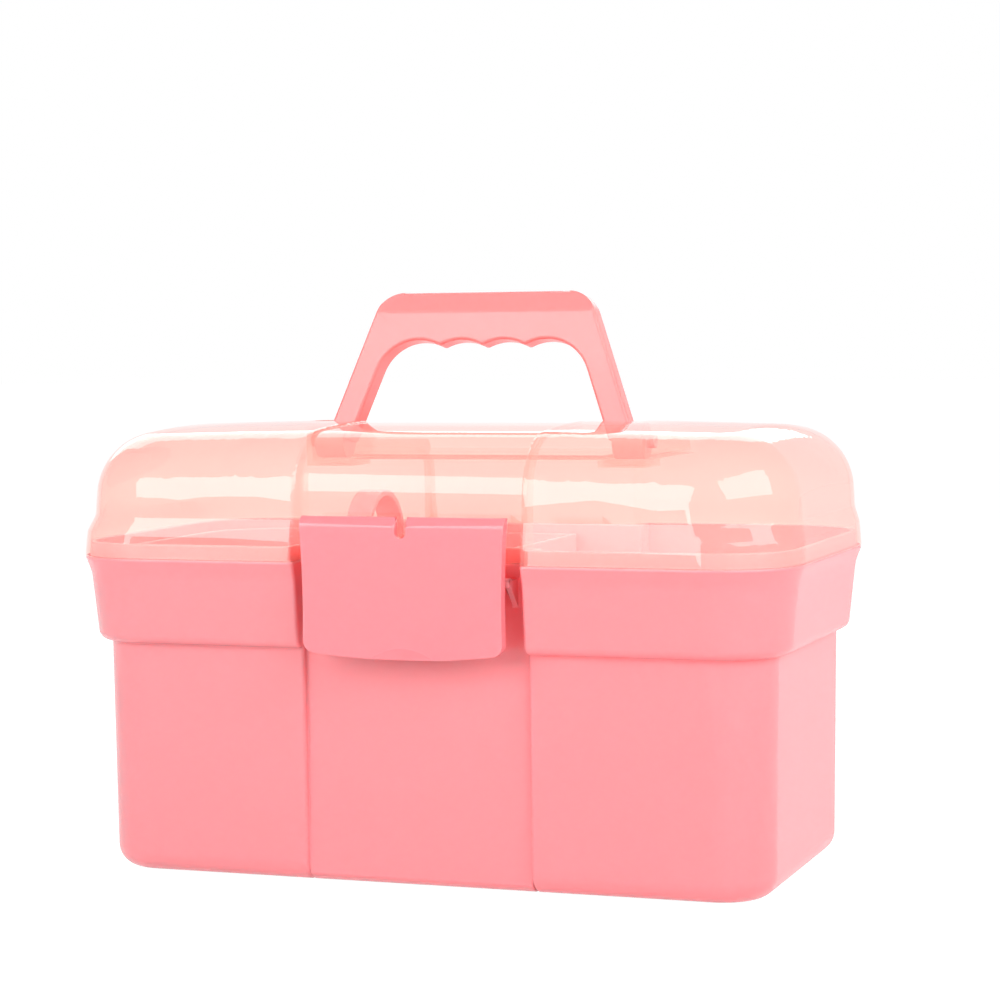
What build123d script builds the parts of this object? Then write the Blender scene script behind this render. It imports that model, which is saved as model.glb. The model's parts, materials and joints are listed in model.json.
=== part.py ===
"""Carry box of moulded plastic: tub, clear hinged lid, folding handle, snap latch, lift-out tray."""
import os
from math import atan2, cos, degrees, radians, sin, tan

from build123d import *

os.makedirs("parts", exist_ok=True)

# Overall sizes, in millimetres
LID_LENGTH = 330.0
LID_DEPTH = 178.0
PLAN_CORNER = 37.0
TUB_HEIGHT = 140.5
LID_HEIGHT = 58.3
TUB_WALL = 2.2
LID_WALL = 2.0
RUNNING_CLEARANCE = 0.1

# Tub: insets are measured inwards from the lid's outline
FLOOR_THICKNESS = 2.6
BODY_BOTTOM_INSET = 12.8
BODY_TOP_INSET = 11.5
BASE_EDGE_RADIUS = 10.0
BAND_HEIGHT = 38.0
BAND_BOTTOM_INSET = 6.0
BAND_TOP_INSET = 2.8
BAND_EDGE_RADIUS = 4.8
FLARE_HEIGHT = 7.5
FLARE_SOFTNESS = 18.0
RIM_INSET = 0.4
RIM_THICKNESS = 1.2
LIP_HEIGHT = 6.5
CHANNEL_WIDTH = 102.6
CHANNEL_DEPTH = 15.0
MOUTH_RADIUS = 1.6
SHOULDER_DEPTH = 10.0
LEDGE_WIDTH = 6.5
LEDGE_THICKNESS = 4.0

# Catch rail in the tub's front channel
RAIL_DROP = 5.5
RAIL_HEIGHT = 4.0
RAIL_THICKNESS = 4.0
RAIL_GAP = 8.0
RAIL_LENGTH = 92.0
RIB_THICKNESS = 2.4

# Rear hinge: bar on the tub, hooks on the lid
HINGE_BAR_RADIUS = 2.5
HINGE_OVERHANG = 2.5
HINGE_DROP = 3.0
HINGE_EAR_WIDTH = 4.0
HINGE_EAR_RADIUS = 4.5
HINGE_EAR_SPACING = 45.0
HINGE_EAR_HEIGHT = 26.0
HOOK_WALL = 2.6
HOOK_WIDTH = 26.0
HOOK_SPACING = 23.0
HOOK_ARM_HEIGHT = 5.0
HOOK_SEAM_GAP = 0.5

# Lid
FLANGE_HEIGHT = 10.5
FLANGE_INSET = 0.8
COVE_HEIGHT = 7.0
COVE_SOFTNESS = 5.0
DOME_BASE_INSET = 2.9
DOME_TOP_INSET = 6.6
DOME_BEND = 29.0
FRONT_CORNER_GROWTH = 11.0
CROWN_RADIUS = 670.0
LONG_CROWN_RADIUS = 4500.0
CENTRE_DROP = 1.4
CENTRE_BEND = 27.0
STEP_RADIUS = 2.0

# Handle pocket in the lid
POCKET_WIDTH = 158.0
POCKET_DEPTH = 16.0
POCKET_FRONT = -1.0
POCKET_END_GAP = 0.8
DISH_LENGTH = 58.0
DISH_RISE = 2.2
DISH_CLEAR = 0.6
WELL_DEPTH = 3.3
WELL_WIDTH = 18.0
WELL_LENGTH = 19.0

# Carry handle
HANDLE_SETBACK = 9.5
HANDLE_RAISE = 6.0
HANDLE_LEAN = 10.0
HANDLE_REACH = 68.2
HANDLE_THICKNESS = 11.0
HANDLE_FOOT_WIDTH = 148.4
HANDLE_SPLAY = 20.0
HANDLE_CORNER = 14.5
LEG_WIDTH = 12.2
GRIP_HEIGHT = 25.1
GROOVE_PITCH = 20.5
GROOVE_DEPTH = 2.7
INNER_CORNER = 11.0
CUSP_RADIUS = 2.0
GRIP_BEVEL_HEIGHT = 9.5
GRIP_BEVEL_DEPTH = 3.0
HANDLE_EDGE = 1.5
FOOT_RADIUS = 8.0
FOOT_LENGTH = 14.0
FOOT_SIDE_GAP = 0.5
STUB_RADIUS = 3.0
STUB_PROUD = 1.6

# Front latch and the bar that it hangs on
LATCH_WIDTH = 92.6
LATCH_TOP = 20.1
LATCH_HEIGHT = 60.4
LATCH_TAPER = 1.2
LATCH_WAIST = 0.8
LATCH_BULGE = 3.0
LATCH_CORNER = 5.0
LATCH_STANDOFF = 3.5
LATCH_THICKNESS = 3.2
LATCH_SIDE_DEPTH = 5.0
LATCH_SIDE_WALL = 2.0
LATCH_BEVEL_DEPTH = 2.4
LATCH_BEVEL_HEIGHT = 3.6
LATCH_NOTCH_WIDTH = 5.0
LATCH_NOTCH_DEPTH = 9.0
LATCH_BAR_RADIUS = 2.4
LATCH_BAR_RAISE = 10.0
LATCH_BAR_OUT = 5.6
LUG_THICKNESS = 3.0
LUG_SPACING = 41.0
LUG_RADIUS = 3.6
CLIP_WALL = 2.0
CLIP_WIDTH = 24.0
CLIP_SPACING = 21.0
CATCH_WIDTH = 76.0
CATCH_HEIGHT = 4.0
CATCH_GAP = 0.3
CATCH_DROP = 1.0
SCOOP_WIDTH = 30.0
SCOOP_DEPTH = 1.4
SCOOP_RISE = 5.0

# Lift-out tray
TRAY_RIGHT = 26.0
TRAY_GAP = 1.2
TRAY_HEIGHT = 38.0
TRAY_WALL = 1.8
TRAY_END_CORNER = 36.0
TRAY_CORNER = 4.0
TRAY_EDGE = 2.0
ARCH_X = -49.0
ARCH_WIDTH = 12.0
ARCH_RADIUS = 22.0
ARCH_THICKNESS = 3.0
ARCH_RISE = 62.0
DIVIDER_FRONT_HEIGHT = 24.0
DIVIDER_BACK_HEIGHT = 35.0
CROSS_DIVIDER_HEIGHT = 27.0
STANDOFF_WIDTH = 2.4
STANDOFF_PROUD = 0.7
STANDOFF_HEIGHT = 30.0

# Heights and planes that follow from the sizes above
SEAM_Z = TUB_HEIGHT
BAND_Z = TUB_HEIGHT - BAND_HEIGHT
LEDGE_Z = BAND_Z + TUB_WALL
FLARE_Z = TUB_HEIGHT - FLARE_HEIGHT
RIM_Z = TUB_HEIGHT - RIM_THICKNESS
LIP_Z = TUB_HEIGHT + LIP_HEIGHT
CROWN_Z = SEAM_Z + LID_HEIGHT
CENTRE_Z = CROWN_Z - CENTRE_DROP
HALF_CHANNEL = CHANNEL_WIDTH / 2
CHANNEL_FACE = LID_DEPTH / 2 - CHANNEL_DEPTH
LID_FACE = CHANNEL_FACE + BAND_TOP_INSET
RIM_FACE = LID_FACE - RIM_INSET
LIP_INNER_INSET = BAND_TOP_INSET + TUB_WALL

# Axes of the rear hinge, the handle and the latch
HINGE_Y = LID_DEPTH / 2 + HINGE_OVERHANG
HINGE_Z = SEAM_Z - HINGE_DROP
POCKET_FLOOR_Z = CROWN_Z - POCKET_DEPTH
HANDLE_Y = POCKET_FRONT + HANDLE_SETBACK
HANDLE_Z = POCKET_FLOOR_Z + HANDLE_RAISE
LATCH_FACE_Y = -(LID_DEPTH / 2 + LATCH_STANDOFF)
LATCH_BAR_Y = -(LID_FACE + LATCH_BAR_OUT)
LATCH_BAR_Z = SEAM_Z + LATCH_BAR_RAISE


def stepped_block(levels, edge_radius=0.0, soft_edges=()):
    """A solid through rounded rectangles, one for each (height, inset, growth of the front corners)."""
    with BuildPart() as block:
        for height, inset, growth in levels:
            with BuildSketch(Plane.XY.offset(height)) as plan:
                Rectangle(LID_LENGTH - 2 * inset, LID_DEPTH - 2 * inset)
                fillet(plan.vertices().group_by(Axis.Y)[0], PLAN_CORNER - inset + growth)
                fillet(plan.vertices().group_by(Axis.Y)[-1], PLAN_CORNER - inset)
        loft(ruled=True)
        for height, radius in soft_edges:
            fillet(block.edges().filter_by_position(Axis.Z, height - 0.01, height + 0.01), radius)
        if edge_radius:
            fillet(block.faces().sort_by(Axis.Z)[0].edges(), edge_radius)
    return block.part


def right_of_channel(block, start, radius=0.0):
    """The part of a block beyond the channel's right side, with its channel mouth rounded."""
    with BuildPart() as side:
        add(block)
        split(bisect_by=Plane.YZ.offset(start), keep=Keep.TOP)
        if radius:
            end_face = side.faces().sort_by(Axis.X)[0]
            lowest = end_face.bounding_box().min.Z
            mouth = end_face.edges().filter_by(
                lambda edge: abs(edge.center().Y) > CHANNEL_FACE and edge.center().Z > lowest
            )
            fillet(mouth, radius)
    return side.part


# Outside of the tub: body and flared band beside the channels, plain wall between them
body_block = stepped_block([(0, BODY_BOTTOM_INSET, 0), (LEDGE_Z, BODY_TOP_INSET, 0)], BASE_EDGE_RADIUS)
band_block = stepped_block(
    [
        (BAND_Z, BAND_BOTTOM_INSET, 0),
        (FLARE_Z, BAND_TOP_INSET, 0),
        (RIM_Z, RIM_INSET, 0),
        (SEAM_Z, RIM_INSET, 0),
    ],
    BAND_EDGE_RADIUS,
    [(FLARE_Z, FLARE_SOFTNESS)],
)
body_side = right_of_channel(body_block, HALF_CHANNEL, MOUTH_RADIUS)
band_side = right_of_channel(band_block, HALF_CHANNEL, MOUTH_RADIUS)
tub_side = body_side + band_side
lip_block = stepped_block([(RIM_Z, BAND_TOP_INSET, 0), (LIP_Z, BAND_TOP_INSET, 0)])
inside_body = stepped_block(
    [
        (FLOOR_THICKNESS, BODY_BOTTOM_INSET + TUB_WALL, 0),
        (LEDGE_Z + TUB_WALL, BODY_TOP_INSET + TUB_WALL, 0),
    ],
    BASE_EDGE_RADIUS - TUB_WALL,
)
inside_band = stepped_block(
    [
        (LEDGE_Z, BAND_BOTTOM_INSET + TUB_WALL, 0),
        (FLARE_Z, LIP_INNER_INSET, 0),
        (LIP_Z + TUB_WALL, LIP_INNER_INSET, 0),
    ]
)

with BuildPart() as tub_middle:
    add(body_block)
    with BuildSketch(Plane.XY.offset(BAND_Z)):
        Rectangle(CHANNEL_WIDTH, 2 * CHANNEL_FACE)
    extrude(amount=BAND_HEIGHT)
    with BuildSketch(Plane.XY):
        Rectangle(CHANNEL_WIDTH, 2 * CHANNEL_FACE)
    extrude(amount=SEAM_Z, mode=Mode.INTERSECT)

with BuildPart() as tub_hollow:
    add(inside_body)
    add(inside_band)
    for side in (-1, 1):
        with BuildSketch(Plane.XY):
            with Locations((0, side * (CHANNEL_FACE - TUB_WALL + LID_DEPTH / 2))):
                Rectangle(CHANNEL_WIDTH + 2 * TUB_WALL, LID_DEPTH)
        extrude(amount=CROWN_Z, mode=Mode.SUBTRACT)
        with BuildSketch(Plane.XY.offset(SEAM_Z - SHOULDER_DEPTH)):
            with Locations((0, side * (CHANNEL_FACE - TUB_WALL + LID_DEPTH / 2))):
                Rectangle(CHANNEL_WIDTH + 2 * LIP_INNER_INSET, LID_DEPTH)
        extrude(amount=CROWN_Z, mode=Mode.SUBTRACT)

with BuildPart() as tub_lip:
    add(lip_block)
    with BuildSketch(Plane.XY):
        for side in (-1, 1):
            with Locations((0, side * (CHANNEL_FACE + LID_DEPTH / 2))):
                Rectangle(CHANNEL_WIDTH + 2 * BAND_TOP_INSET, LID_DEPTH)
    extrude(amount=CROWN_Z, mode=Mode.SUBTRACT)

with BuildPart() as tub:
    add(tub_side)
    mirror(about=Plane.YZ)
    add(tub_middle.part)
    add(tub_lip.part)
    add(tub_hollow.part, mode=Mode.SUBTRACT)
    # The rim flares across each channel too, and the tray's ledge runs along inside it
    with BuildSketch(Plane.YZ.offset(-HALF_CHANNEL)):
        for side in (-1, 1):
            Polygon(
                (side * (CHANNEL_FACE - TUB_WALL / 2), FLARE_Z),
                (side * CHANNEL_FACE, FLARE_Z),
                (side * RIM_FACE, RIM_Z),
                (side * RIM_FACE, SEAM_Z),
                (side * (CHANNEL_FACE - TUB_WALL / 2), SEAM_Z),
                align=None,
            )
    extrude(amount=CHANNEL_WIDTH)
    with BuildSketch(Plane.YZ.offset(-HALF_CHANNEL)):
        for side in (-1, 1):
            Polygon(
                (side * (CHANNEL_FACE - TUB_WALL / 2), LEDGE_Z),
                (side * (CHANNEL_FACE - TUB_WALL - LEDGE_WIDTH), LEDGE_Z),
                (side * (CHANNEL_FACE - TUB_WALL - LEDGE_WIDTH), LEDGE_Z - LEDGE_THICKNESS / 2),
                (side * (CHANNEL_FACE - TUB_WALL / 2), LEDGE_Z - LEDGE_THICKNESS - LEDGE_WIDTH),
                align=None,
            )
    extrude(amount=CHANNEL_WIDTH)
    # Catch rail on three ribs
    rail_z = SEAM_Z - RAIL_DROP - RAIL_HEIGHT / 2
    rail_y = -(CHANNEL_FACE + RAIL_GAP + RAIL_THICKNESS / 2)
    with BuildSketch(Plane.YZ.offset(-RAIL_LENGTH / 2)):
        with Locations((rail_y, rail_z)):
            RectangleRounded(RAIL_THICKNESS, RAIL_HEIGHT, RAIL_THICKNESS / 4)
    extrude(amount=RAIL_LENGTH)
    for place in (-1, 0, 1):
        with BuildSketch(Plane.YZ.offset(place * (RAIL_LENGTH - RIB_THICKNESS) / 2 - RIB_THICKNESS / 2)):
            Polygon(
                (-(CHANNEL_FACE - TUB_WALL / 2), rail_z + RAIL_HEIGHT / 4),
                (-(CHANNEL_FACE - TUB_WALL / 2), rail_z - RAIL_GAP - RAIL_HEIGHT),
                (rail_y, rail_z - RAIL_HEIGHT / 4),
                (rail_y, rail_z + RAIL_HEIGHT / 4),
                align=None,
            )
        extrude(amount=RIB_THICKNESS)
    # Hinge bar on three ears in the rear channel
    ear_span = 2 * HINGE_EAR_SPACING + HINGE_EAR_WIDTH
    with BuildSketch(Plane.YZ.offset(-ear_span / 2)):
        with Locations((HINGE_Y, HINGE_Z)):
            Circle(HINGE_BAR_RADIUS)
    extrude(amount=ear_span)
    for place in (-1, 0, 1):
        with BuildSketch(Plane.YZ.offset(place * HINGE_EAR_SPACING - HINGE_EAR_WIDTH / 2)):
            with Locations((HINGE_Y, HINGE_Z)):
                Circle(HINGE_EAR_RADIUS)
            Polygon(
                (CHANNEL_FACE - TUB_WALL / 2, SEAM_Z - RIM_THICKNESS),
                (CHANNEL_FACE - TUB_WALL / 2, SEAM_Z - HINGE_EAR_HEIGHT),
                (HINGE_Y, HINGE_Z - HINGE_EAR_RADIUS),
                (HINGE_Y, SEAM_Z - RIM_THICKNESS),
                align=None,
            )
        extrude(amount=HINGE_EAR_WIDTH)
tub.part.label = "tub"
export_step(tub.part, "parts/tub.step")


def dome_block(grow):
    """The lid's flange, cove and crowned dome as one solid, drawn in by the given wall."""
    cove_z = SEAM_Z + FLANGE_HEIGHT
    dome_z = cove_z + COVE_HEIGHT
    crown_z = CROWN_Z - grow
    shell = stepped_block(
        [
            (SEAM_Z - grow, grow, 0),
            (cove_z, FLANGE_INSET + grow, FRONT_CORNER_GROWTH / 16),
            (dome_z, DOME_BASE_INSET + grow, FRONT_CORNER_GROWTH / 2),
            (CROWN_Z + DOME_BEND, DOME_TOP_INSET + grow, FRONT_CORNER_GROWTH),
        ],
        soft_edges=[(cove_z, COVE_SOFTNESS), (dome_z, COVE_SOFTNESS)],
    )
    with BuildPart() as dome:
        add(shell)
        with Locations((0, 0, crown_z - LONG_CROWN_RADIUS)):
            Torus(LONG_CROWN_RADIUS - CROWN_RADIUS, CROWN_RADIUS, rotation=(90, 0, 0), mode=Mode.INTERSECT)
        fillet(dome.faces().sort_by(Axis.Z)[-1].edges(), DOME_BEND - grow)
    return dome.part


def centre_block(grow, half_width):
    """The lower centre of the lid between its two steps, drawn in by the given wall."""
    face = LID_FACE - grow
    top = CENTRE_Z - grow
    shoulder = top - face**2 / (2 * CROWN_RADIUS)
    with BuildPart() as centre:
        with BuildSketch(Plane.YZ.offset(-half_width)) as section:
            with BuildLine():
                Polyline((-face, shoulder), (-face, SEAM_Z - grow), (face, SEAM_Z - grow), (face, shoulder))
                ThreePointArc((face, shoulder), (0, top), (-face, shoulder))
            make_face()
            fillet(section.vertices().group_by(Axis.Y)[-1], CENTRE_BEND - grow)
        extrude(amount=2 * half_width)
    return centre.part


def pocket_block(grow):
    """The handle's pocket, its two foot wells and the dish before it, enlarged by the given wall."""
    half_width = POCKET_WIDTH / 2 + grow
    front = POCKET_FRONT - grow
    back = HANDLE_Y + HANDLE_REACH + POCKET_END_GAP + grow
    floor_z = POCKET_FLOOR_Z - grow
    lip_z = CENTRE_Z + DISH_CLEAR - grow
    above = CROWN_Z + DOME_BEND
    with BuildPart() as pocket:
        with BuildSketch(Plane.YZ.offset(-half_width)):
            Polygon(
                (POCKET_FRONT - DISH_LENGTH, lip_z + DISH_RISE),
                (front, lip_z),
                (front, floor_z),
                (back, floor_z),
                (back, above),
                (POCKET_FRONT - DISH_LENGTH, above),
                align=None,
            )
        extrude(amount=2 * half_width)
        with BuildSketch(Plane.XY.offset(floor_z - WELL_DEPTH)):
            for side in (-1, 1):
                well_x = side * (POCKET_WIDTH - WELL_WIDTH) / 2
                with Locations((well_x, POCKET_FRONT + WELL_LENGTH / 2)):
                    Rectangle(WELL_WIDTH + 2 * grow, WELL_LENGTH + 2 * grow)
        extrude(amount=2 * WELL_DEPTH)
    return pocket.part


bulge_side = right_of_channel(dome_block(0), HALF_CHANNEL, STEP_RADIUS)
bulge_hollow = right_of_channel(dome_block(LID_WALL), HALF_CHANNEL + LID_WALL)
lid_centre = centre_block(0, HALF_CHANNEL)
centre_hollow = centre_block(LID_WALL, HALF_CHANNEL + 2 * LID_WALL)
pocket_space = pocket_block(0)
pocket_walls = pocket_block(LID_WALL)

with BuildPart() as lid_hollow:
    add(bulge_hollow)
    mirror(about=Plane.YZ)
    add(centre_hollow)
    add(pocket_walls, mode=Mode.SUBTRACT)

with BuildPart() as lid:
    add(bulge_side)
    mirror(about=Plane.YZ)
    add(lid_centre)
    add(pocket_space, mode=Mode.SUBTRACT)
    add(lid_hollow.part, mode=Mode.SUBTRACT)
    # Pivot holes for the handle's stubs
    for side in (-1, 1):
        with BuildSketch(Plane.YZ.offset(side * (POCKET_WIDTH + LID_WALL) / 2)):
            with Locations((HANDLE_Y, HANDLE_Z)):
                Circle(STUB_RADIUS + RUNNING_CLEARANCE)
        extrude(amount=LID_WALL, both=True, mode=Mode.SUBTRACT)
    # Latch bar on three lugs in front of the centre face
    lug_span = 2 * LUG_SPACING + LUG_THICKNESS
    with BuildSketch(Plane.YZ.offset(-lug_span / 2)):
        with Locations((LATCH_BAR_Y, LATCH_BAR_Z)):
            Circle(LATCH_BAR_RADIUS)
    extrude(amount=lug_span)
    for place in (-1, 0, 1):
        with BuildSketch(Plane.YZ.offset(place * LUG_SPACING - LUG_THICKNESS / 2)):
            with Locations((LATCH_BAR_Y, LATCH_BAR_Z)):
                Circle(LUG_RADIUS)
            Polygon(
                (LATCH_BAR_Y, LATCH_BAR_Z - LUG_RADIUS),
                (-(LID_FACE - LID_WALL / 2), LATCH_BAR_Z - LUG_RADIUS),
                (-(LID_FACE - LID_WALL / 2), LATCH_BAR_Z + LUG_RADIUS),
                (LATCH_BAR_Y, LATCH_BAR_Z + LUG_RADIUS),
                align=None,
            )
        extrude(amount=LUG_THICKNESS)
    # Hooks that hang on the tub's hinge bar, open downwards to snap on
    hook_bore = HINGE_BAR_RADIUS + RUNNING_CLEARANCE
    hook_radius = hook_bore + HOOK_WALL
    arm_z = SEAM_Z + HOOK_SEAM_GAP
    for place in (-1, 1):
        with BuildSketch(Plane.YZ.offset(place * HOOK_SPACING - HOOK_WIDTH / 2)):
            with Locations((HINGE_Y, HINGE_Z)):
                Circle(hook_radius)
            Polygon(
                (LID_FACE - LID_WALL / 2, arm_z),
                (HINGE_Y, arm_z),
                (HINGE_Y + hook_radius, HINGE_Z),
                (HINGE_Y, arm_z + HOOK_ARM_HEIGHT),
                (LID_FACE - LID_WALL / 2, arm_z + 2 * HOOK_ARM_HEIGHT),
                align=None,
            )
            with Locations((HINGE_Y, HINGE_Z)):
                Circle(hook_bore, mode=Mode.SUBTRACT)
            with Locations((HINGE_Y, HINGE_Z - hook_radius)):
                Rectangle(1.6 * HINGE_BAR_RADIUS, 2 * hook_radius, mode=Mode.SUBTRACT)
        extrude(amount=HOOK_WIDTH)
lid.part.label = "lid"
export_step(lid.part, "parts/lid.step")


# Carry handle, drawn on a plane that leans back through its pivot
lean = radians(HANDLE_LEAN)
handle_plane = Plane(origin=(0, HANDLE_Y, HANDLE_Z), x_dir=(1, 0, 0), z_dir=(0, -cos(lean), sin(lean)))
handle_side = Plane(
    origin=(LID_LENGTH, HANDLE_Y, HANDLE_Z), x_dir=(0, -cos(lean), sin(lean)), z_dir=(-1, 0, 0)
)
foot_half = HANDLE_FOOT_WIDTH / 2
splay = tan(radians(HANDLE_SPLAY))
cusp_height = HANDLE_REACH - GRIP_HEIGHT
corner_height = cusp_height - INNER_CORNER
half_thickness = HANDLE_THICKNESS / 2


def leg_line(width, height):
    """Half-width of the handle at a height above the pivot, a given distance in from its outside."""
    return foot_half - width - height * splay


with BuildPart() as carry_handle:
    with BuildSketch(handle_plane) as handle_face:
        Polygon(
            (-leg_line(0, 0), 0),
            (leg_line(0, 0), 0),
            (leg_line(0, HANDLE_REACH), HANDLE_REACH),
            (-leg_line(0, HANDLE_REACH), HANDLE_REACH),
            align=None,
        )
        fillet(handle_face.vertices().group_by(Axis.Y)[-1], HANDLE_CORNER)
        with BuildSketch(mode=Mode.SUBTRACT) as hand_gap:
            with BuildLine():
                for side in (-1, 1):
                    corner = (side * leg_line(LEG_WIDTH, corner_height), corner_height)
                    Line((side * leg_line(LEG_WIDTH, -FOOT_RADIUS), -FOOT_RADIUS), corner)
                    TangentArc(corner, (side * GROOVE_PITCH, cusp_height), tangent=(-side * splay, 1))
                    ThreePointArc(
                        (side * GROOVE_PITCH, cusp_height),
                        (side * GROOVE_PITCH / 2, cusp_height + GROOVE_DEPTH),
                        (0, cusp_height),
                    )
                Line(
                    (-leg_line(LEG_WIDTH, -FOOT_RADIUS), -FOOT_RADIUS),
                    (leg_line(LEG_WIDTH, -FOOT_RADIUS), -FOOT_RADIUS),
                )
            make_face()
            fillet(hand_gap.vertices().group_by(Axis.Y)[-1], CUSP_RADIUS)
    extrude(amount=half_thickness, both=True)
    rims = carry_handle.edges().filter_by(
        lambda edge: abs(abs(handle_plane.to_local_coords(edge.center()).Z) - half_thickness) < 0.01
        and handle_plane.to_local_coords(edge.center()).Y > 1
    )
    fillet(rims, HANDLE_EDGE)
    # Bevels along the top of the grip, front and back
    with BuildSketch(handle_side):
        for side in (-1, 1):
            Polygon(
                (side * half_thickness, HANDLE_REACH - GRIP_BEVEL_HEIGHT),
                (side * (half_thickness - GRIP_BEVEL_DEPTH), HANDLE_REACH),
                (side * (half_thickness - GRIP_BEVEL_DEPTH), HANDLE_REACH + GRIP_BEVEL_DEPTH),
                (side * (half_thickness + GRIP_BEVEL_DEPTH), HANDLE_REACH + GRIP_BEVEL_DEPTH),
                (side * (half_thickness + GRIP_BEVEL_DEPTH), HANDLE_REACH - GRIP_BEVEL_HEIGHT),
                align=None,
            )
    extrude(amount=2 * LID_LENGTH, mode=Mode.SUBTRACT)
    # Round feet with the pivot stubs on them
    foot_outer = POCKET_WIDTH / 2 - FOOT_SIDE_GAP
    stub_end = POCKET_WIDTH / 2 + LID_WALL + STUB_PROUD
    for side in (-1, 1):
        with BuildSketch(Plane.YZ.offset(side * foot_outer)):
            with Locations((HANDLE_Y, HANDLE_Z)):
                Circle(FOOT_RADIUS)
        extrude(amount=-side * FOOT_LENGTH)
        with BuildSketch(Plane.YZ.offset(side * foot_outer)):
            with Locations((HANDLE_Y, HANDLE_Z)):
                Circle(STUB_RADIUS)
        extrude(amount=side * (stub_end - foot_outer))
carry_handle.part.label = "carry_handle"
export_step(carry_handle.part, "parts/carry_handle.step")

# Front latch
latch_top_z = SEAM_Z + LATCH_TOP
latch_bottom_z = latch_top_z - LATCH_HEIGHT
clip_bore = LATCH_BAR_RADIUS + RUNNING_CLEARANCE
clip_radius = clip_bore + CLIP_WALL
catch_tip_y = -(CHANNEL_FACE + RAIL_GAP + RAIL_THICKNESS + CATCH_GAP)
catch_top_z = SEAM_Z - RAIL_DROP - RAIL_HEIGHT - CATCH_DROP
scoop_radius = (SCOOP_WIDTH / 2) ** 2 / (2 * SCOOP_DEPTH)
scoop_tilt = atan2(SCOOP_DEPTH, SCOOP_RISE)

with BuildPart() as front_latch:
    for wall, start, top_z, mode in (
        (0, 0, latch_top_z, Mode.ADD),
        (LATCH_SIDE_WALL, LATCH_THICKNESS, latch_top_z + LATCH_SIDE_WALL, Mode.SUBTRACT),
    ):
        half_width = LATCH_WIDTH / 2 - wall
        low_z = latch_bottom_z + wall
        corner_z = low_z + LATCH_BULGE
        with BuildSketch(Plane.XZ.offset(-LATCH_FACE_Y - start)) as outline:
            with BuildLine():
                Line((-half_width, top_z), (half_width, top_z))
                for side in (-1, 1):
                    ThreePointArc(
                        (side * half_width, top_z),
                        (side * (half_width - LATCH_TAPER / 2 - LATCH_WAIST), (top_z + corner_z) / 2),
                        (side * (half_width - LATCH_TAPER), corner_z),
                    )
                ThreePointArc(
                    (half_width - LATCH_TAPER, corner_z), (0, low_z), (LATCH_TAPER - half_width, corner_z)
                )
            make_face()
            fillet(outline.vertices().group_by(Axis.Y)[0], LATCH_CORNER - wall)
        extrude(amount=-LATCH_SIDE_DEPTH, mode=mode)
    # Bevelled top edge, with a notch that clears the middle lug
    with BuildSketch(Plane.YZ.offset(-LATCH_WIDTH)):
        Polygon(
            (LATCH_FACE_Y, latch_top_z - LATCH_BEVEL_HEIGHT),
            (LATCH_FACE_Y + LATCH_BEVEL_DEPTH, latch_top_z),
            (LATCH_FACE_Y + LATCH_BEVEL_DEPTH, latch_top_z + LATCH_BEVEL_HEIGHT),
            (LATCH_FACE_Y - LATCH_BEVEL_DEPTH, latch_top_z + LATCH_BEVEL_HEIGHT),
            (LATCH_FACE_Y - LATCH_BEVEL_DEPTH, latch_top_z - LATCH_BEVEL_HEIGHT),
            align=None,
        )
    extrude(amount=2 * LATCH_WIDTH, mode=Mode.SUBTRACT)
    with BuildSketch(Plane.XZ.offset(-LATCH_FACE_Y)):
        with Locations((0, latch_top_z)):
            SlotOverall(2 * LATCH_NOTCH_DEPTH, LATCH_NOTCH_WIDTH, rotation=90)
    extrude(amount=-LATCH_SIDE_DEPTH, mode=Mode.SUBTRACT)
    # Thumb scoop in the lower edge
    scoop_y = LATCH_FACE_Y - scoop_radius / cos(scoop_tilt)
    with Locations(Location((0, scoop_y, latch_bottom_z + SCOOP_RISE), (degrees(scoop_tilt), 0, 0))):
        Cylinder(scoop_radius, LATCH_HEIGHT, mode=Mode.SUBTRACT)
    # Clips that snap on the lid's latch bar
    for place in (-1, 1):
        with BuildSketch(Plane.YZ.offset(place * CLIP_SPACING - CLIP_WIDTH / 2)):
            with Locations((LATCH_BAR_Y, LATCH_BAR_Z)):
                Circle(clip_radius)
            Polygon(
                (LATCH_FACE_Y + LATCH_THICKNESS / 2, LATCH_BAR_Z - clip_radius),
                (LATCH_BAR_Y, LATCH_BAR_Z - clip_radius),
                (LATCH_BAR_Y, LATCH_BAR_Z + clip_radius),
                (LATCH_FACE_Y + LATCH_THICKNESS / 2, LATCH_BAR_Z + clip_radius),
                align=None,
            )
            with Locations((LATCH_BAR_Y, LATCH_BAR_Z)):
                Circle(clip_bore, mode=Mode.SUBTRACT)
            with Locations((LATCH_BAR_Y + clip_radius, LATCH_BAR_Z)):
                Rectangle(2 * clip_radius, 1.6 * LATCH_BAR_RADIUS, mode=Mode.SUBTRACT)
        extrude(amount=CLIP_WIDTH)
    # Catch rib behind the plate
    with BuildSketch(Plane.YZ.offset(-CATCH_WIDTH / 2)):
        Polygon(
            (LATCH_FACE_Y + LATCH_THICKNESS / 2, catch_top_z),
            (catch_tip_y, catch_top_z),
            (catch_tip_y, catch_top_z - CATCH_HEIGHT / 3),
            (LATCH_FACE_Y + LATCH_THICKNESS / 2, catch_top_z - CATCH_HEIGHT),
            align=None,
        )
    extrude(amount=CATCH_WIDTH)
front_latch.part.label = "front_latch"
export_step(front_latch.part, "parts/front_latch.step")

# Lift-out tray
tray_inset = BAND_BOTTOM_INSET + TUB_WALL + TRAY_GAP
tray_left = LID_LENGTH / 2 - tray_inset
jog_x = HALF_CHANNEL + LIP_INNER_INSET + TRAY_GAP
jog_y = CHANNEL_FACE - TUB_WALL - TRAY_GAP
arch_middle = ARCH_RADIUS - ARCH_THICKNESS / 2
arch_centre_z = LEDGE_Z + ARCH_RISE - ARCH_RADIUS

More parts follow.
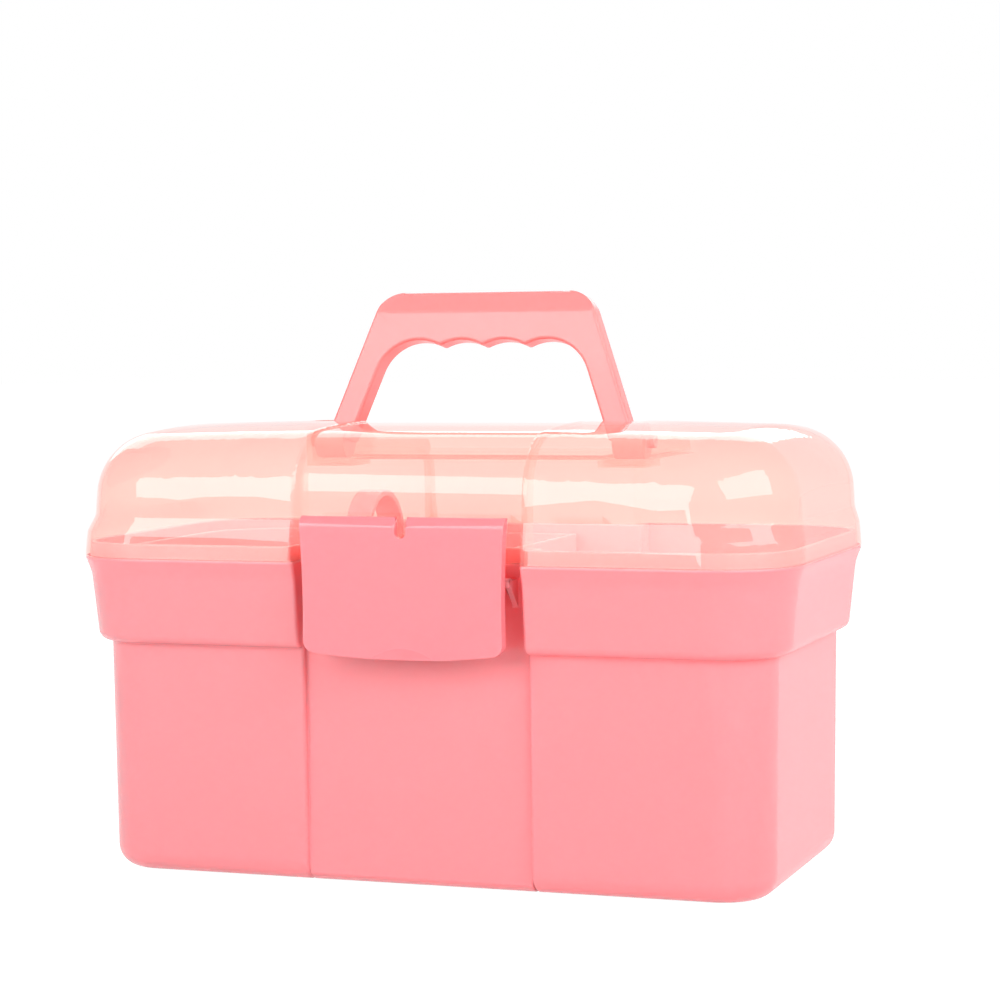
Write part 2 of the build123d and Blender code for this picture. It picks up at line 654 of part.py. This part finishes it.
with BuildPart() as lift_out_tray:
    for wall, base_z, mode in ((0, LEDGE_Z, Mode.ADD), (TRAY_WALL, LEDGE_Z + TRAY_WALL, Mode.SUBTRACT)):
        inset = tray_inset + wall
        with BuildSketch(Plane.XY.offset(base_z)) as plan:
            RectangleRounded(LID_LENGTH - 2 * inset, LID_DEPTH - 2 * inset, TRAY_END_CORNER - wall)
            with Locations((TRAY_RIGHT - wall + LID_LENGTH / 2, 0)):
                Rectangle(LID_LENGTH, LID_DEPTH, mode=Mode.SUBTRACT)
            for side in (-1, 1):
                with Locations((LID_LENGTH / 2 - jog_x - wall, side * (LID_DEPTH / 2 + jog_y - wall))):
                    Rectangle(LID_LENGTH, LID_DEPTH, mode=Mode.SUBTRACT)
            corners = plan.vertices().filter_by_position(Axis.X, -jog_x - 2 * TRAY_WALL, LID_LENGTH)
            fillet(corners, TRAY_CORNER - wall)
        extrude(amount=TRAY_HEIGHT, mode=mode)
        if mode == Mode.ADD:
            fillet(lift_out_tray.faces().sort_by(Axis.Z)[0].edges(), TRAY_EDGE)
    # Slot in the floor under the arch, then the arch and the dividers that run from its legs
    slot_depth = 2 * (ARCH_RADIUS - ARCH_THICKNESS)
    with BuildSketch(Plane.XY.offset(LEDGE_Z)):
        with Locations((ARCH_X, 0)):
            Rectangle(ARCH_WIDTH, slot_depth)
    extrude(amount=TRAY_WALL, mode=Mode.SUBTRACT)
    with BuildSketch(Plane.YZ.offset(ARCH_X - ARCH_WIDTH / 2)):
        for radius, mode in ((ARCH_RADIUS, Mode.ADD), (ARCH_RADIUS - ARCH_THICKNESS, Mode.SUBTRACT)):
            with Locations((0, arch_centre_z)):
                Circle(radius, mode=mode)
            with Locations((0, (LEDGE_Z + arch_centre_z) / 2)):
                Rectangle(2 * radius, arch_centre_z - LEDGE_Z, mode=mode)
    extrude(amount=ARCH_WIDTH)
    for side, height in ((-1, DIVIDER_FRONT_HEIGHT), (1, DIVIDER_BACK_HEIGHT)):
        divider_end = jog_y - TRAY_WALL / 2
        with BuildSketch(Plane.XY.offset(LEDGE_Z + TRAY_WALL / 2)):
            with Locations((ARCH_X, side * (divider_end + arch_middle) / 2)):
                Rectangle(TRAY_WALL, divider_end - arch_middle)
        extrude(amount=height - TRAY_WALL / 2)
    with BuildSketch(Plane.XY.offset(LEDGE_Z + TRAY_WALL / 2)):
        with Locations(((ARCH_X - tray_left + TRAY_WALL / 2) / 2, arch_middle)):
            Rectangle(ARCH_X + tray_left - TRAY_WALL / 2, TRAY_WALL)
    extrude(amount=CROSS_DIVIDER_HEIGHT - TRAY_WALL / 2)
    # Standoff ribs that keep the tray off the tub's walls
    with BuildSketch(Plane.XY.offset(LEDGE_Z + TRAY_EDGE)):
        for place in (-1, 1):
            with Locations((-tray_left, place * LID_DEPTH / 6)):
                Rectangle(2 * STANDOFF_PROUD, STANDOFF_WIDTH)
            with Locations(((ARCH_X - tray_left) / 2, place * (LID_DEPTH / 2 - tray_inset))):
                Rectangle(STANDOFF_WIDTH, 2 * STANDOFF_PROUD)
    extrude(amount=STANDOFF_HEIGHT)
lift_out_tray.part.label = "lift_out_tray"
export_step(lift_out_tray.part, "parts/lift_out_tray.step")
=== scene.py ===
"""Looks of a moulded carry box: pink tub, handle, latch and tray, and a clear peach lid, on a pale stage."""
import json

import bpy
from math import cos, radians, sin, tan
from mathutils import Matrix, Vector


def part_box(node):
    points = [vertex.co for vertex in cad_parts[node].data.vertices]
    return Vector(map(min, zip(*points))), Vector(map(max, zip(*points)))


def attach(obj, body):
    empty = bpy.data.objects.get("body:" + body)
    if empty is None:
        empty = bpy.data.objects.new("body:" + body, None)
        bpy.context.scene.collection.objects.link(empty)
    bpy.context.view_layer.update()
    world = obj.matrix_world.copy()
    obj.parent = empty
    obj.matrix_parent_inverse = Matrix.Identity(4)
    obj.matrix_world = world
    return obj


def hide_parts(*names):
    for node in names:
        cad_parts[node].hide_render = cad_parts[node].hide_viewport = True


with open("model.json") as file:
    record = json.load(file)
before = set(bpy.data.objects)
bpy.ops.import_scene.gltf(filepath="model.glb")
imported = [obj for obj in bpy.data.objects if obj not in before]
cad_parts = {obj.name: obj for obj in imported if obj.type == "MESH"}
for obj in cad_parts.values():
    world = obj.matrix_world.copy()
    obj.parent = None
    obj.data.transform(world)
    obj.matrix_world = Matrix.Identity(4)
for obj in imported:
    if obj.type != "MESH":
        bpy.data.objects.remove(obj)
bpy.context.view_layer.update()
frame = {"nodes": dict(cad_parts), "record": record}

# Angles and lengths that decide which edges are rounded, welded or left as creases
CREASE_ANGLE = radians(12)
TUB_SOFT_ANGLE = radians(40)
TRAY_SOFT_ANGLE = radians(40)
HANDLE_SOFT_ANGLE = radians(13)
LATCH_SOFT_ANGLE = radians(25)
LONG_EDGE = 0.03
WELD_DISTANCE = 1e-6
SLIVER_WELD_DISTANCE = 1e-5

# Glow of the floor, and its share of what the camera sees there
FLOOR_GLOW = 1.56
FLOOR_GLOW_SHARE = 0.6

bl_info = {
    "name": "Carry Box Looks",
    "version": (1, 0, 0),
    "blender": (4, 5, 0),
    "location": "View3D > Sidebar > Carry Box",
    "description": "Dresses the packed carry box in moulded plastic and sets its studio stage",
    "category": "Object",
}


class CarryBoxPlastics(bpy.types.PropertyGroup):
    """Colours and finishes of the box's two plastics."""

    tub_pink: bpy.props.FloatVectorProperty(
        name="Tub pink",
        description="Colour of the opaque moulded tub",
        subtype="COLOR",
        size=4,
        min=0.0,
        max=1.0,
        default=(0.985, 0.298, 0.324, 1.0),
    )
    # Painted shade: a darker copy of the tub's pink, so that the latch comes out darker under the lamps than
    # the tub's pink would
    latch_pink: bpy.props.FloatVectorProperty(
        name="Latch pink",
        description="Colour of the latch, a touch cooler than the tub",
        subtype="COLOR",
        size=4,
        min=0.0,
        max=1.0,
        default=(0.985, 0.265, 0.3, 1.0),
    )
    handle_pink: bpy.props.FloatVectorProperty(
        name="Handle pink",
        description="Colour of the handle, a touch warmer than the tub",
        subtype="COLOR",
        size=4,
        min=0.0,
        max=1.0,
        default=(0.985, 0.3, 0.295, 1.0),
    )
    tray_pink: bpy.props.FloatVectorProperty(
        name="Tray pink",
        description="Colour of the lift-out tray",
        subtype="COLOR",
        size=4,
        min=0.0,
        max=1.0,
        default=(0.985, 0.298, 0.324, 1.0),
    )
    lid_peach: bpy.props.FloatVectorProperty(
        name="Lid peach",
        description="Tint that the two faces of one lid wall give to what is seen through it",
        subtype="COLOR",
        size=4,
        min=0.0,
        max=1.0,
        default=(1.0, 0.776, 0.728, 1.0),
    )
    lid_depth_colour: bpy.props.FloatVectorProperty(
        name="Lid depth colour",
        description="Colour that the clear plastic takes on where it is thick",
        subtype="COLOR",
        size=4,
        min=0.0,
        max=1.0,
        default=(1.0, 0.5, 0.4, 1.0),
    )
    lid_depth_density: bpy.props.FloatProperty(
        name="Lid depth density",
        description="How fast the colour deepens with thickness, per metre",
        min=0.0,
        default=30.0,
    )
    pink_gloss: bpy.props.FloatProperty(
        name="Pink roughness",
        description="Mean roughness of the opaque plastic",
        subtype="FACTOR",
        min=0.0,
        max=1.0,
        default=0.25,
    )
    lid_gloss: bpy.props.FloatProperty(
        name="Lid roughness",
        description="Mean roughness of the polished clear plastic",
        subtype="FACTOR",
        min=0.0,
        max=1.0,
        default=0.05,
    )
    grain_pitch: bpy.props.FloatProperty(
        name="Grain pitch",
        description="Spacing of the fine grain that the mould leaves on the pink plastic",
        subtype="DISTANCE",
        unit="LENGTH",
        min=0.0001,
        default=0.0009,
    )
    edge_softness: bpy.props.FloatProperty(
        name="Edge softness",
        description="Width of the rounding that the mould leaves on sharp edges",
        subtype="DISTANCE",
        unit="LENGTH",
        min=0.0,
        default=0.0007,
    )
    latch_softness: bpy.props.FloatProperty(
        name="Latch softness",
        description="Width of the rounding on the latch's edges",
        subtype="DISTANCE",
        unit="LENGTH",
        min=0.0,
        default=0.001,
    )
    grip_softness: bpy.props.FloatProperty(
        name="Grip softness",
        description="Width of the rounding on the handle's edges, which a hand holds",
        subtype="DISTANCE",
        unit="LENGTH",
        min=0.0,
        default=0.0012,
    )


class CarryBoxStage(bpy.types.PropertyGroup):
    """Camera, softboxes and floor of the studio."""

    target: bpy.props.FloatVectorProperty(
        name="Camera target",
        description="Point that the camera looks at",
        subtype="TRANSLATION",
        unit="LENGTH",
        default=(0.01193, 0.0, 0.1625),
    )
    azimuth: bpy.props.FloatProperty(
        name="Camera azimuth",
        description="Turn of the camera to the right of the box's front",
        subtype="ANGLE",
        unit="ROTATION",
        default=radians(19.6),
    )
    elevation: bpy.props.FloatProperty(
        name="Camera elevation",
        description="Height of the camera above the horizon",
        subtype="ANGLE",
        unit="ROTATION",
        default=radians(3.44),
    )
    roll: bpy.props.FloatProperty(
        name="Camera roll",
        description="Tilt of the camera about its own axis",
        subtype="ANGLE",
        unit="ROTATION",
        default=radians(-0.61),
    )
    distance: bpy.props.FloatProperty(
        name="Camera distance",
        description="Distance from the camera to its target",
        subtype="DISTANCE",
        unit="LENGTH",
        default=1.22725,
    )
    lens: bpy.props.FloatProperty(
        name="Lens",
        description="Focal length on a 36 mm sensor",
        unit="CAMERA",
        default=98.22,
    )
    key_power: bpy.props.FloatProperty(
        name="Key softbox",
        description="Power of the long softbox at the front left",
        unit="POWER",
        default=11.0,
    )
    window_power: bpy.props.FloatProperty(
        name="Side softbox",
        description="Power of the softbox at the right",
        unit="POWER",
        default=12.5,
    )
    back_power: bpy.props.FloatProperty(
        name="Back softbox",
        description="Power of the weaker softbox that lights the back and left",
        unit="POWER",
        default=7.0,
    )
    fill: bpy.props.FloatProperty(
        name="Room fill",
        description="Strength of the even light from the white room",
        min=0.0,
        default=0.24,
    )
    floor_size: bpy.props.FloatProperty(
        name="Floor size",
        description="Side of the pale floor",
        subtype="DISTANCE",
        unit="LENGTH",
        default=24.0,
    )


# Node groups and materials


def shader_group(name, inputs, outputs):
    """An empty shader node group with the given (name, socket type, default) sockets."""
    group = bpy.data.node_groups.new(name, "ShaderNodeTree")
    for label, kind, default in inputs:
        socket = group.interface.new_socket(label, in_out="INPUT", socket_type=kind)
        socket.default_value = default
    for label, kind in outputs:
        group.interface.new_socket(label, in_out="OUTPUT", socket_type=kind)
    return group, group.nodes.new("NodeGroupInput"), group.nodes.new("NodeGroupOutput")


def scaled_noise(tree, coords, scale, detail=2.0):
    """A noise texture on the given coordinates."""
    noise = tree.nodes.new("ShaderNodeTexNoise")
    noise.inputs["Detail"].default_value = detail
    tree.links.new(coords, noise.inputs["Vector"])
    if isinstance(scale, float):
        noise.inputs["Scale"].default_value = scale
    else:
        tree.links.new(scale, noise.inputs["Scale"])
    return noise.outputs["Fac"]


def remapped(tree, value, low, high):
    """A value between 0 and 1 mapped to the range from low to high."""
    node = tree.nodes.new("ShaderNodeMapRange")
    node.clamp = True
    tree.links.new(value, node.inputs["Value"])
    for socket, bound in (("To Min", low), ("To Max", high)):
        if isinstance(bound, float):
            node.inputs[socket].default_value = bound
        else:
            tree.links.new(bound, node.inputs[socket])
    return node.outputs["Result"]


def combined(tree, operation, first, second):
    """A math node of two values, each a socket or a number."""
    node = tree.nodes.new("ShaderNodeMath")
    node.operation = operation
    for place, value in enumerate((first, second)):
        if isinstance(value, float):
            node.inputs[place].default_value = value
        else:
            tree.links.new(value, node.inputs[place])
    return node.outputs["Value"]


def moulded_plastic_group():
    """Colour drift, gloss drift and mould grain of injection-moulded plastic, on object coordinates."""
    name = "Moulded Plastic"
    if name in bpy.data.node_groups:
        return bpy.data.node_groups[name]
    group, given, made = shader_group(
        name,
        (
            ("Color", "NodeSocketColor", (0.9, 0.3, 0.35, 1.0)),
            ("Drift", "NodeSocketFloat", 0.05),
            ("Roughness", "NodeSocketFloat", 0.3),
            ("Grain Scale", "NodeSocketFloat", 1100.0),
            ("Grain", "NodeSocketFloat", 0.2),
        ),
        (("Color", "NodeSocketColor"), ("Roughness", "NodeSocketFloat"), ("Height", "NodeSocketFloat")),
    )
    coords = group.nodes.new("ShaderNodeTexCoord").outputs["Object"]
    cloud = scaled_noise(group, coords, 9.0, 3.0)
    flow = scaled_noise(group, coords, 42.0, 4.0)
    grain = scaled_noise(group, coords, given.outputs["Grain Scale"], 1.0)
    darker = group.nodes.new("ShaderNodeMix")
    darker.data_type = "RGBA"
    darker.blend_type = "MULTIPLY"
    group.links.new(given.outputs["Color"], darker.inputs[6])
    darker.inputs[7].default_value = (0.985, 0.82, 0.84, 1.0)
    amount = combined(group, "MULTIPLY", remapped(group, cloud, 0.0, 1.0), given.outputs["Drift"])
    group.links.new(amount, darker.inputs[0])
    group.links.new(darker.outputs[2], made.inputs["Color"])
    lowest = combined(group, "MULTIPLY", given.outputs["Roughness"], 0.86)
    highest = combined(group, "MULTIPLY", given.outputs["Roughness"], 1.14)
    group.links.new(remapped(group, flow, lowest, highest), made.inputs["Roughness"])
    fine = combined(group, "MULTIPLY", grain, given.outputs["Grain"])
    group.links.new(combined(group, "ADD", flow, fine), made.inputs["Height"])
    return group


def new_material(name):
    """A material with a Principled shader and nothing else but its output."""
    material = bpy.data.materials.new(name)
    material.use_nodes = True
    tree = material.node_tree
    tree.nodes.clear()
    output = tree.nodes.new("ShaderNodeOutputMaterial")
    shader = tree.nodes.new("ShaderNodeBsdfPrincipled")
    return material, tree, output, shader


def surface_detail(tree, shader, colour, drift, roughness, grain_scale, grain, depth):
    """Feeds a shader from the moulded plastic group."""
    detail = tree.nodes.new("ShaderNodeGroup")
    detail.node_tree = moulded_plastic_group()
    detail.inputs["Color"].default_value = colour
    detail.inputs["Drift"].default_value = drift
    detail.inputs["Roughness"].default_value = roughness
    detail.inputs["Grain Scale"].default_value = grain_scale
    detail.inputs["Grain"].default_value = grain
    bump = tree.nodes.new("ShaderNodeBump")
    bump.inputs["Strength"].default_value = 0.35
    bump.inputs["Distance"].default_value = depth
    tree.links.new(detail.outputs["Height"], bump.inputs["Height"])
    tree.links.new(detail.outputs["Color"], shader.inputs["Base Color"])
    tree.links.new(detail.outputs["Roughness"], shader.inputs["Roughness"])
    tree.links.new(bump.outputs["Normal"], shader.inputs["Normal"])


def pink_plastic(name, colour):
    """Opaque pink polypropylene with a soft sheen."""
    plastics = bpy.context.scene.carry_box_plastics
    material, tree, output, shader = new_material(name)
    surface_detail(tree, shader, colour, 0.12, plastics.pink_gloss, 1 / plastics.grain_pitch, 0.25, 0.0002)
    shader.inputs["IOR"].default_value = 1.49
    shader.inputs["Subsurface Weight"].default_value = 0.5
    shader.inputs["Subsurface Radius"].default_value = (1.0, 0.12, 0.1)
    shader.inputs["Subsurface Scale"].default_value = 0.008
    tree.links.new(shader.outputs["BSDF"], output.inputs["Surface"])
    return material


def clear_plastic(name, tint):
    """Clear tinted plastic that lets the lamps through to what lies behind it."""
    plastics = bpy.context.scene.carry_box_plastics
    material, tree, output, shader = new_material(name)
    surface_detail(tree, shader, tint, 0.06, plastics.lid_gloss, 60.0, 0.1, 0.000002)
    shader.inputs["IOR"].default_value = 1.001
    shader.inputs["Transmission Weight"].default_value = 0.9
    sides = tree.nodes.new("ShaderNodeNewGeometry")
    outside = combined(tree, "SUBTRACT", 1.0, sides.outputs["Backfacing"])
    tree.links.new(outside, shader.inputs["Coat Weight"])
    shader.inputs["Coat Roughness"].default_value = 0.01
    shader.inputs["Coat IOR"].default_value = 1.5
    depth = tree.nodes.new("ShaderNodeVolumeAbsorption")
    depth.inputs["Color"].default_value = plastics.lid_depth_colour
    depth.inputs["Density"].default_value = plastics.lid_depth_density
    tree.links.new(depth.outputs["Volume"], output.inputs["Volume"])
    path = tree.nodes.new("ShaderNodeLightPath")
    through = tree.nodes.new("ShaderNodeBsdfTransparent")
    through.inputs["Color"].default_value = (1.0, 0.93, 0.91, 1.0)
    mix = tree.nodes.new("ShaderNodeMixShader")
    tree.links.new(path.outputs["Is Shadow Ray"], mix.inputs["Fac"])
    tree.links.new(shader.outputs["BSDF"], mix.inputs[1])
    tree.links.new(through.outputs["BSDF"], mix.inputs[2])
    tree.links.new(mix.outputs["Shader"], output.inputs["Surface"])
    return material


# Pieces


def only(piece):
    """Selects one object alone and makes it active."""
    bpy.ops.object.select_all(action="DESELECT")
    piece.select_set(True)
    bpy.context.view_layer.objects.active = piece


def soften(piece, angle, width, shortest=0.0):
    """Rounds a piece's edges that are sharper than an angle and no shorter than a length, without slivers."""
    bpy.ops.object.mode_set(mode="EDIT")
    bpy.ops.mesh.select_mode(type="EDGE")
    bpy.ops.mesh.select_all(action="DESELECT")
    bpy.ops.mesh.edges_select_sharp(sharpness=angle)
    bpy.ops.object.mode_set(mode="OBJECT")
    points = piece.data.vertices
    for edge in piece.data.edges:
        first, last = edge.vertices
        if (points[first].co - points[last].co).length < shortest:
            edge.select = False
    bpy.ops.object.mode_set(mode="EDIT")
    bpy.ops.mesh.bevel(offset=width, segments=3, clamp_overlap=False)
    bpy.ops.mesh.select_all(action="SELECT")
    bpy.ops.mesh.remove_doubles(threshold=SLIVER_WELD_DISTANCE)
    bpy.ops.mesh.dissolve_degenerate(threshold=WELD_DISTANCE)
    bpy.ops.object.mode_set(mode="OBJECT")


def even_shading(piece):
    """Shades a piece smooth between its creases, with its flat faces left flat."""
    bpy.ops.object.shade_smooth_by_angle(angle=CREASE_ANGLE)
    flats = piece.modifiers.new("Flat faces", "WEIGHTED_NORMAL")
    flats.keep_sharp = True
    bpy.ops.object.modifier_apply(modifier=flats.name)


def moulded_piece(node, name, material):
    """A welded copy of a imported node, left selected, that stands for the node."""
    source = frame["nodes"][node]
    piece = bpy.data.objects.new(name, source.data.copy())
    bpy.context.scene.collection.objects.link(piece)
    only(piece)
    bpy.ops.object.mode_set(mode="EDIT")
    bpy.ops.mesh.select_all(action="SELECT")
    bpy.ops.mesh.remove_doubles(threshold=WELD_DISTANCE)
    bpy.ops.mesh.customdata_custom_splitnormals_clear()
    bpy.ops.object.mode_set(mode="OBJECT")
    piece.data.materials.clear()
    piece.data.materials.append(material)
    bodies = frame["record"]["behaviour"]["bodies"]
    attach(piece, next(body for body, nodes in bodies.items() if node in nodes))
    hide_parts(node)
    return piece


class CARRYBOX_OT_tub(bpy.types.Operator):
    """Dress the tub in opaque pink plastic"""

    bl_idname = "carrybox.tub"
    bl_label = "Tub"

    def execute(self, context):
        plastics = context.scene.carry_box_plastics
        material = pink_plastic("Tub pink plastic", plastics.tub_pink)
        piece = moulded_piece("tub", "tub_shell", material)
        soften(piece, TUB_SOFT_ANGLE, plastics.edge_softness)
        even_shading(piece)
        return {"FINISHED"}


class CARRYBOX_OT_lid(bpy.types.Operator):
    """Dress the lid in clear peach plastic"""

    bl_idname = "carrybox.lid"
    bl_label = "Lid"

    def execute(self, context):
        tint = context.scene.carry_box_plastics.lid_peach
        piece = moulded_piece("lid", "lid_shell", clear_plastic("Clear peach plastic", tint))
        even_shading(piece)
        return {"FINISHED"}


class CARRYBOX_OT_handle(bpy.types.Operator):
    """Dress the folding carry handle"""

    bl_idname = "carrybox.handle"
    bl_label = "Carry handle"

    def execute(self, context):
        plastics = context.scene.carry_box_plastics
        material = pink_plastic("Handle pink plastic", plastics.handle_pink)
        piece = moulded_piece("carry_handle", "carry_handle_bow", material)
        soften(piece, HANDLE_SOFT_ANGLE, plastics.grip_softness, LONG_EDGE)
        even_shading(piece)
        return {"FINISHED"}


class CARRYBOX_OT_latch(bpy.types.Operator):
    """Dress the snap latch"""

    bl_idname = "carrybox.latch"
    bl_label = "Front latch"

    def execute(self, context):
        plastics = context.scene.carry_box_plastics
        # The latch's colour carries painted shade: it is darker than the tub's pink
        material = pink_plastic("Latch pink plastic", plastics.latch_pink)
        piece = moulded_piece("front_latch", "front_latch_plate", material)
        soften(piece, LATCH_SOFT_ANGLE, plastics.latch_softness, LONG_EDGE)
        even_shading(piece)
        return {"FINISHED"}


class CARRYBOX_OT_tray(bpy.types.Operator):
    """Dress the lift-out tray"""

    bl_idname = "carrybox.tray"
    bl_label = "Lift-out tray"

    def execute(self, context):
        plastics = context.scene.carry_box_plastics
        material = pink_plastic("Tray pink plastic", plastics.tray_pink)
        piece = moulded_piece("lift_out_tray", "lift_out_tray_shell", material)
        soften(piece, TRAY_SOFT_ANGLE, plastics.edge_softness)
        even_shading(piece)
        return {"FINISHED"}


# Stage


def seen_directly(tree):
    """1 for rays from the camera, from reflections and through clear plastic, and 0 for the rest."""
    path = tree.nodes.new("ShaderNodeLightPath")
    camera_or_gloss = combined(
        tree, "MAXIMUM", path.outputs["Is Camera Ray"], path.outputs["Is Glossy Ray"]
    )
    return combined(tree, "MAXIMUM", camera_or_gloss, path.outputs["Is Transmission Ray"])


def white_room(fill):
    """A world that looks white, and lights the box evenly at the given strength."""
    world = bpy.data.worlds.new("White room")
    world.use_nodes = True
    tree = world.node_tree
    background = next(node for node in tree.nodes if node.type == "BACKGROUND")
    background.inputs["Color"].default_value = (1.0, 1.0, 1.0, 1.0)
    tree.links.new(remapped(tree, seen_directly(tree), fill, 1.0), background.inputs["Strength"])
    bpy.context.scene.world = world


def pale_floor(size):
    """A pale floor that looks as white as the room and keeps the box's soft shadow."""
    bpy.ops.object.select_all(action="DESELECT")
    bpy.ops.mesh.primitive_plane_add(size=size)
    floor = bpy.context.object
    floor.name = "stage_floor"
    material, tree, output, shader = new_material("Pale floor")
    shader.inputs["Base Color"].default_value = (0.9, 0.9, 0.9, 1.0)
    shader.inputs["Roughness"].default_value = 1.0
    shader.inputs["Specular IOR Level"].default_value = 0.0
    glow = tree.nodes.new("ShaderNodeEmission")
    glow.inputs["Strength"].default_value = FLOOR_GLOW
    mix = tree.nodes.new("ShaderNodeMixShader")
    tree.links.new(combined(tree, "MULTIPLY", seen_directly(tree), FLOOR_GLOW_SHARE), mix.inputs["Fac"])
    tree.links.new(shader.outputs["BSDF"], mix.inputs[1])
    tree.links.new(glow.outputs["Emission"], mix.inputs[2])
    tree.links.new(mix.outputs["Shader"], output.inputs["Surface"])
    floor.data.materials.append(material)


def softbox(name, azimuth, elevation, distance, spread, power):
    """A soft lamp that faces the lid from the given angles, with the given (wide, tall) spread."""
    back = Vector((sin(azimuth) * cos(elevation), -cos(azimuth) * cos(elevation), sin(elevation)))
    middle = Vector((0.0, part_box("lid")[0].y, (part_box("lid")[0].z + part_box("lid")[1].z) / 2))
    turn = (-back).to_track_quat("-Z", "Y").to_euler()
    bpy.ops.object.light_add(type="AREA", location=middle + back * distance, rotation=turn)
    lamp = bpy.context.object
    lamp.name = name
    lamp.data.shape = "RECTANGLE"
    lamp.data.size = 2 * distance * tan(spread[0] / 2)
    lamp.data.size_y = 2 * distance * tan(spread[1] / 2)
    lamp.data.energy = power
    lamp.visible_camera = False


class CARRYBOX_OT_stage(bpy.types.Operator):
    """Set the white room, the floor, the softboxes and the camera"""

    bl_idname = "carrybox.stage"
    bl_label = "Stage"

    def execute(self, context):
        stage = context.scene.carry_box_stage
        context.scene.view_settings.view_transform = "Standard"
        white_room(stage.fill)
        pale_floor(stage.floor_size)
        key_spread = (radians(42), radians(29.8))
        softbox("Key softbox", radians(-25), radians(18.2), 1.3, key_spread, stage.key_power)
        side_spread = (radians(58), radians(34))
        softbox("Side softbox", radians(69), radians(26), 1.2, side_spread, stage.window_power)
        softbox("Back softbox", radians(205), radians(30), 1.4, side_spread, stage.back_power)
        back = Vector(
            (
                sin(stage.azimuth) * cos(stage.elevation),
                -cos(stage.azimuth) * cos(stage.elevation),
                sin(stage.elevation),
            )
        )
        turn = (-back).to_track_quat("-Z", "Y").to_matrix() @ Matrix.Rotation(stage.roll, 3, "Z")
        bpy.ops.object.camera_add(
            location=Vector(stage.target) + back * stage.distance, rotation=turn.to_euler()
        )
        camera = context.object
        camera.name = "Studio camera"
        camera.data.sensor_width = 36.0
        camera.data.lens = stage.lens
        context.scene.camera = camera
        return {"FINISHED"}


class CARRYBOX_PT_panel(bpy.types.Panel):
    """Lists the box's plastics, its pieces and the stage"""

    bl_idname = "CARRYBOX_PT_panel"
    bl_label = "Carry Box"
    bl_space_type = "VIEW_3D"
    bl_region_type = "UI"
    bl_category = "Carry Box"

    def draw(self, context):
        for settings in (context.scene.carry_box_plastics, context.scene.carry_box_stage):
            column = self.layout.column()
            for key in settings.__annotations__:
                column.prop(settings, key)
        for operator in OPERATORS:
            self.layout.operator(operator.bl_idname)


SETTINGS = (CarryBoxPlastics, CarryBoxStage)
OPERATORS = (
    CARRYBOX_OT_stage,
    CARRYBOX_OT_tub,
    CARRYBOX_OT_lid,
    CARRYBOX_OT_handle,
    CARRYBOX_OT_latch,
    CARRYBOX_OT_tray,
)
CLASSES = SETTINGS + OPERATORS + (CARRYBOX_PT_panel,)


def register():
    """Registers the classes and hangs the settings on the scene."""
    for cls in CLASSES:
        bpy.utils.register_class(cls)
    bpy.types.Scene.carry_box_plastics = bpy.props.PointerProperty(type=CarryBoxPlastics)
    bpy.types.Scene.carry_box_stage = bpy.props.PointerProperty(type=CarryBoxStage)


def unregister():
    """Takes the settings off the scene and unregisters the classes."""
    del bpy.types.Scene.carry_box_stage
    del bpy.types.Scene.carry_box_plastics
    for cls in reversed(CLASSES):
        bpy.utils.unregister_class(cls)


def main():
    """Builds the stage and every piece."""
    register()
    bpy.ops.carrybox.stage()
    bpy.ops.carrybox.tub()
    bpy.ops.carrybox.lid()
    bpy.ops.carrybox.handle()
    bpy.ops.carrybox.latch()
    bpy.ops.carrybox.tray()


if __name__ == "__main__":
    main()
